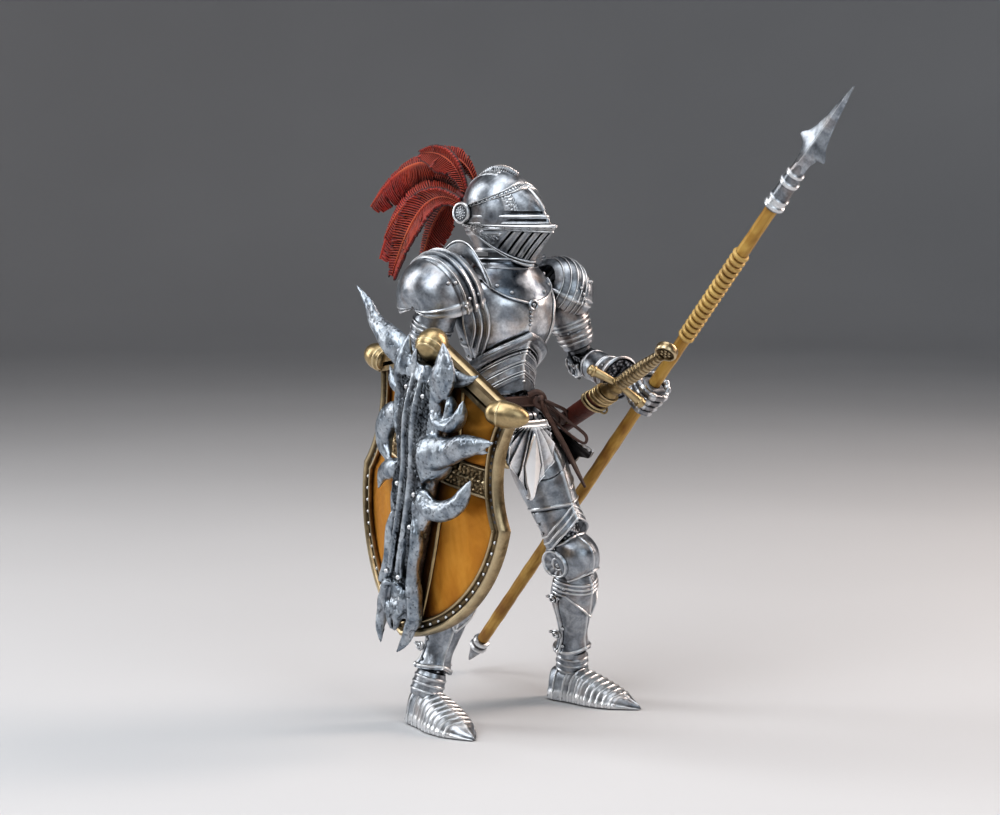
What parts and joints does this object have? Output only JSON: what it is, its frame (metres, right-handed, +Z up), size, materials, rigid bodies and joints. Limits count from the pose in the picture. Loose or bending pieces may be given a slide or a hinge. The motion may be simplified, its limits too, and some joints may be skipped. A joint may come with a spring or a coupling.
{
  "type": "action figure",
  "caption": "Articulated plate-armoured knight figure standing with spear, keeled heater shield, sheathed sword and helmet plume.",
  "frame": {"origin": "middle of the base of the bounding box, on the ground under the figure", "axes": "+Z up, the figure faces -Y, its left is +X"},
  "size_m": [0.0882, 0.177, 0.1849],
  "materials": {
    "silver_armour": "metallic silver paint with a dark wash over moulded plastic",
    "dark_steel": "dark steel paint with worn bright edges",
    "joint_plastic": "dark grey moulded joint plastic",
    "bronze_trim": "antique bronze paint",
    "amber_panel": "burnished amber and gold paint",
    "brown_leather": "leather-brown paint over moulded plastic",
    "ochre_shaft": "ochre wood paint with darker bands",
    "red_plume": "deep red paint drybrushed orange"
  },
  "bodies": {
    "pelvis": {"pelvis_core": "joint_plastic", "fauld": "silver_armour", "belt": "brown_leather", "rear_skirt": "dark_steel"},
    "front_tasset": {"front_tasset": "silver_armour"},
    "scabbard": {"scabbard": "brown_leather", "scabbard_throat": "bronze_trim"},
    "sword": {"sword_blade": "silver_armour", "sword_guard": "bronze_trim", "sword_grip": "bronze_trim", "sword_pommel": "bronze_trim"},
    "waist_link": {"waist_link": "joint_plastic"},
    "torso": {"torso_core": "silver_armour", "breastplate": "silver_armour", "backplate": "silver_armour", "gorget": "silver_armour"},
    "neck_link": {"neck_link": "joint_plastic"},
    "head": {"head_core": "joint_plastic", "helmet": "silver_armour", "visor_pivots": "silver_armour"},
    "visor": {"visor": "silver_armour", "face_grille": "silver_armour"},
    "plume": {"plume": "red_plume"},
    "right_pauldron": {"right_pauldron": "silver_armour"},
    "right_shoulder_link": {"right_shoulder_link": "joint_plastic"},
    "right_upper_arm": {"right_upper_arm": "silver_armour"},
    "right_elbow_link": {"right_elbow_link": "joint_plastic", "right_couter": "silver_armour"},
    "right_forearm": {"right_forearm": "silver_armour"},
    "right_wrist_link": {"right_wrist_link": "joint_plastic"},
    "right_hand": {"right_hand": "silver_armour"},
    "right_hip_link": {"right_hip_link": "joint_plastic"},
    "right_thigh": {"right_thigh": "silver_armour"},
    "right_knee_link": {"right_knee_link": "joint_plastic", "right_poleyn": "silver_armour"},
    "right_greave": {"right_greave": "silver_armour"},
    "right_ankle_link": {"right_ankle_link": "joint_plastic"},
    "right_foot": {"right_foot": "silver_armour"},
    "left_pauldron": {"left_pauldron": "silver_armour"},
    "left_shoulder_link": {"left_shoulder_link": "joint_plastic"},
    "left_upper_arm": {"left_upper_arm": "silver_armour"},
    "left_elbow_link": {"left_elbow_link": "joint_plastic", "left_couter": "silver_armour"},
    "left_forearm": {"left_forearm": "silver_armour"},
    "left_wrist_link": {"left_wrist_link": "joint_plastic"},
    "left_hand": {"left_hand": "silver_armour"},
    "left_hip_link": {"left_hip_link": "joint_plastic"},
    "left_thigh": {"left_thigh": "silver_armour"},
    "left_knee_link": {"left_knee_link": "joint_plastic", "left_poleyn": "silver_armour"},
    "left_greave": {"left_greave": "silver_armour"},
    "left_ankle_link": {"left_ankle_link": "joint_plastic"},
    "left_foot": {"left_foot": "silver_armour"},
    "shield_handle": {"shield_handle": "dark_steel"},
    "shield": {"shield_board": "amber_panel", "shield_rim": "bronze_trim", "shield_emblem": "dark_steel"},
    "spear": {"spear_shaft": "ochre_shaft", "spear_head": "silver_armour", "spear_butt": "silver_armour"}
  },
  "joints": [
    {"name": "tasset_swing", "type": "hinge", "parent": "pelvis", "child": "front_tasset", "pos_m": [0.00726, 0.01619, 0.09], "axis": [-1, 0, 0], "range_deg": [0, 60]},
    {"name": "scabbard_swing", "type": "hinge", "parent": "pelvis", "child": "scabbard", "pos_m": [0.02577, 0.01835, 0.08855], "axis": [1, 0, 0], "range_deg": [-8, 8]},
    {"name": "sword_draw", "type": "slide", "parent": "scabbard", "child": "sword", "axis": [-0.1407, -0.9047, 0.4021], "range_m": [0, 0.06]},
    {"name": "waist_turn", "type": "hinge", "parent": "pelvis", "child": "waist_link", "pos_m": [0.00726, 0.02839, 0.098], "axis": [0, 0, 1], "range_deg": [-3, 20]},
    {"name": "waist_bend", "type": "hinge", "parent": "waist_link", "child": "torso", "pos_m": [0.00726, 0.02839, 0.098], "axis": [1, 0, 0], "range_deg": [-8, 8]},
    {"name": "neck_turn", "type": "hinge", "parent": "torso", "child": "neck_link", "pos_m": [0.00726, 0.02839, 0.1385], "axis": [0, 0, 1], "range_deg": [-45, 30]},
    {"name": "head_nod", "type": "hinge", "parent": "neck_link", "child": "head", "pos_m": [0.00726, 0.02839, 0.1385], "axis": [0.9848, 0.1736, 0], "range_deg": [-10, 10]},
    {"name": "visor_lift", "type": "hinge", "parent": "head", "child": "visor", "pos_m": [0.00622, 0.03429, 0.1507], "axis": [-0.9848, -0.1736, 0], "range_deg": [0, 45]},
    {"name": "plume_turn", "type": "hinge", "parent": "head", "child": "plume", "pos_m": [0.00528, 0.03961, 0.1531], "axis": [-0.1504, 0.8529, 0.5], "range_deg": [-25, 25]},
    {"name": "right_pauldron_lift", "type": "hinge", "parent": "torso", "child": "right_pauldron", "pos_m": [-0.00624, 0.02978, 0.1366], "axis": [0, 1, 0], "range_deg": [0, 20]},
    {"name": "right_shoulder_swing", "type": "hinge", "parent": "torso", "child": "right_shoulder_link", "pos_m": [-0.01423, 0.02839, 0.1275], "axis": [-1, 0, 0], "range_deg": [-15, 12]},
    {"name": "right_shoulder_raise", "type": "hinge", "parent": "right_shoulder_link", "child": "right_upper_arm", "pos_m": [-0.01423, 0.02839, 0.1275], "axis": [0, 0.9173, 0.3983], "range_deg": [-3, 22]},
    {"name": "right_upper_arm_twist", "type": "hinge", "parent": "right_upper_arm", "child": "right_elbow_link", "pos_m": [-0.01696, 0.03788, 0.10563], "axis": [-0.1134, 0.3957, -0.9114], "range_deg": [-10, 15]},
    {"name": "right_elbow_bend", "type": "hinge", "parent": "right_elbow_link", "child": "right_forearm", "pos_m": [-0.01696, 0.03788, 0.10563], "axis": [-0.9814, 0.0981, 0.1647], "range_deg": [-25, 15]},
    {"name": "right_wrist_turn", "type": "hinge", "parent": "right_forearm", "child": "right_wrist_link", "pos_m": [-0.02132, 0.01988, 0.09036], "axis": [0.1817, 0.7499, 0.6361], "range_deg": [-8, 8]},
    {"name": "right_wrist_bend", "type": "hinge", "parent": "right_wrist_link", "child": "right_hand", "pos_m": [-0.02132, 0.01988, 0.09036], "axis": [0.9833, -0.1386, -0.1176], "range_deg": [-15, 15]},
    {"name": "right_hip_swing", "type": "hinge", "parent": "pelvis", "child": "right_hip_link", "pos_m": [-0.00173, 0.02839, 0.0845], "axis": [-1, 0, 0], "range_deg": [-12, 22]},
    {"name": "right_hip_spread", "type": "hinge", "parent": "right_hip_link", "child": "right_thigh", "pos_m": [-0.00173, 0.02839, 0.0845], "axis": [0, 0.9755, -0.22], "range_deg": [-8, 6]},
    {"name": "right_thigh_twist", "type": "hinge", "parent": "right_thigh", "child": "right_knee_link", "pos_m": [-0.01447, 0.0197, 0.04597], "axis": [0.3069, 0.2094, 0.9284], "range_deg": [-30, 30]},
    {"name": "right_knee_bend", "type": "hinge", "parent": "right_knee_link", "child": "right_greave", "pos_m": [-0.01447, 0.0197, 0.04597], "axis": [0.9489, -0.1423, -0.2815], "range_deg": [-15, 60]},
    {"name": "right_ankle_turn", "type": "hinge", "parent": "right_greave", "child": "right_ankle_link", "pos_m": [-0.02394, 0.02379, 0.012], "axis": [0.2666, -0.1152, 0.9569], "range_deg": [-25, 25]},
    {"name": "right_ankle_bend", "type": "hinge", "parent": "right_ankle_link", "child": "right_foot", "pos_m": [-0.02394, 0.02379, 0.012], "axis": [0.9561, -0.0935, -0.2777], "range_deg": [-20, 25]},
    {"name": "left_pauldron_lift", "type": "hinge", "parent": "torso", "child": "left_pauldron", "pos_m": [0.02076, 0.02978, 0.1366], "axis": [0, -1, 0], "range_deg": [0, 20]},
    {"name": "left_shoulder_swing", "type": "hinge", "parent": "torso", "child": "left_shoulder_link", "pos_m": [0.02876, 0.02839, 0.1275], "axis": [-1, 0, 0], "range_deg": [-15, 12]},
    {"name": "left_shoulder_raise", "type": "hinge", "parent": "left_shoulder_link", "child": "left_upper_arm", "pos_m": [0.02876, 0.02839, 0.1275], "axis": [0, -0.9967, 0.0808], "range_deg": [-3, 14]},
    {"name": "left_upper_arm_twist", "type": "hinge", "parent": "left_upper_arm", "child": "left_elbow_link", "pos_m": [0.03806, 0.0266, 0.10545], "axis": [-0.3875, 0.0745, 0.9189], "range_deg": [-10, 15]},
    {"name": "left_elbow_bend", "type": "hinge", "parent": "left_elbow_link", "child": "left_forearm", "pos_m": [0.03806, 0.0266, 0.10545], "axis": [-0.9019, 0.1758, -0.3946], "range_deg": [-25, 15]},
    {"name": "left_wrist_turn", "type": "hinge", "parent": "left_forearm", "child": "left_wrist_link", "pos_m": [0.03609, 0.0034, 0.09963], "axis": [0.0823, 0.9666, 0.2426], "range_deg": [-8, 8]},
    {"name": "left_wrist_bend", "type": "hinge", "parent": "left_wrist_link", "child": "left_hand", "pos_m": [0.03609, 0.0034, 0.09963], "axis": [0.9966, -0.0799, -0.02], "range_deg": [-15, 15]},
    {"name": "left_hip_swing", "type": "hinge", "parent": "pelvis", "child": "left_hip_link", "pos_m": [0.01627, 0.02839, 0.0845], "axis": [-1, 0, 0], "range_deg": [-12, 22]},
    {"name": "left_hip_spread", "type": "hinge", "parent": "left_hip_link", "child": "left_thigh", "pos_m": [0.01627, 0.02839, 0.0845], "axis": [0, -0.9571, 0.2899], "range_deg": [-8, 6]},
    {"name": "left_thigh_twist", "type": "hinge", "parent": "left_thigh", "child": "left_knee_link", "pos_m": [0.02631, 0.01671, 0.04596], "axis": [-0.2421, 0.2813, 0.9286], "range_deg": [-30, 30]},
    {"name": "left_knee_bend", "type": "hinge", "parent": "left_knee_link", "child": "left_greave", "pos_m": [0.02631, 0.01671, 0.04596], "axis": [0.9673, 0.1451, 0.2082], "range_deg": [-15, 60]},
    {"name": "left_ankle_turn", "type": "hinge", "parent": "left_greave", "child": "left_ankle_link", "pos_m": [0.03236, 0.02508, 0.012], "axis": [-0.1705, -0.2358, 0.9567], "range_deg": [-25, 25]},
    {"name": "left_ankle_bend", "type": "hinge", "parent": "left_ankle_link", "child": "left_foot", "pos_m": [0.03236, 0.02508, 0.012], "axis": [0.9425, 0.2443, 0.2282], "range_deg": [-20, 25]},
    {"name": "handle_turn", "type": "hinge", "parent": "right_hand", "child": "shield_handle", "pos_m": [-0.02313, 0.01239, 0.084], "axis": [0, -0.2079, 0.9781], "range_deg": [-5, 5]},
    {"name": "shield_turn", "type": "hinge", "parent": "shield_handle", "child": "shield", "pos_m": [-0.03424, 0.01074, 0.08418], "axis": [-1, 0, 0], "range_deg": [-20, 20]},
    {"name": "spear_slide", "type": "slide", "parent": "left_hand", "child": "spear", "axis": [0, -0.6841, 0.7294], "range_m": [-0.003, 0.015]}
  ]
}
